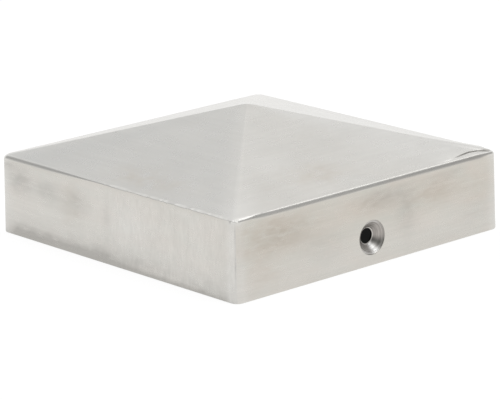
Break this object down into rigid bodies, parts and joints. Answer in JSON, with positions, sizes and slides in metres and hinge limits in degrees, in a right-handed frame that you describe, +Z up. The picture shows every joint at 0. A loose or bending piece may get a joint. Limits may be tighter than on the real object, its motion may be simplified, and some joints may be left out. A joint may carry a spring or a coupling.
{
  "type": "post cap",
  "caption": "Square post cap: a low pyramid roof over a slightly flared skirt with countersunk screw holes, hollow and open below to sit over a post.",
  "frame": {"origin": "middle of the open rim, on the plane that the rim stands on", "axes": "+Z up to the roof's point, -Y out of the side with the screw hole that is taken as the front, +X to its right"},
  "size_m": [0.097, 0.097, 0.0358],
  "materials": {
    "ground_steel": "satin, ground and lightly mottled stainless steel"
  },
  "bodies": {
    "root": {"post_cap": "ground_steel"}
  },
  "joints": []
}
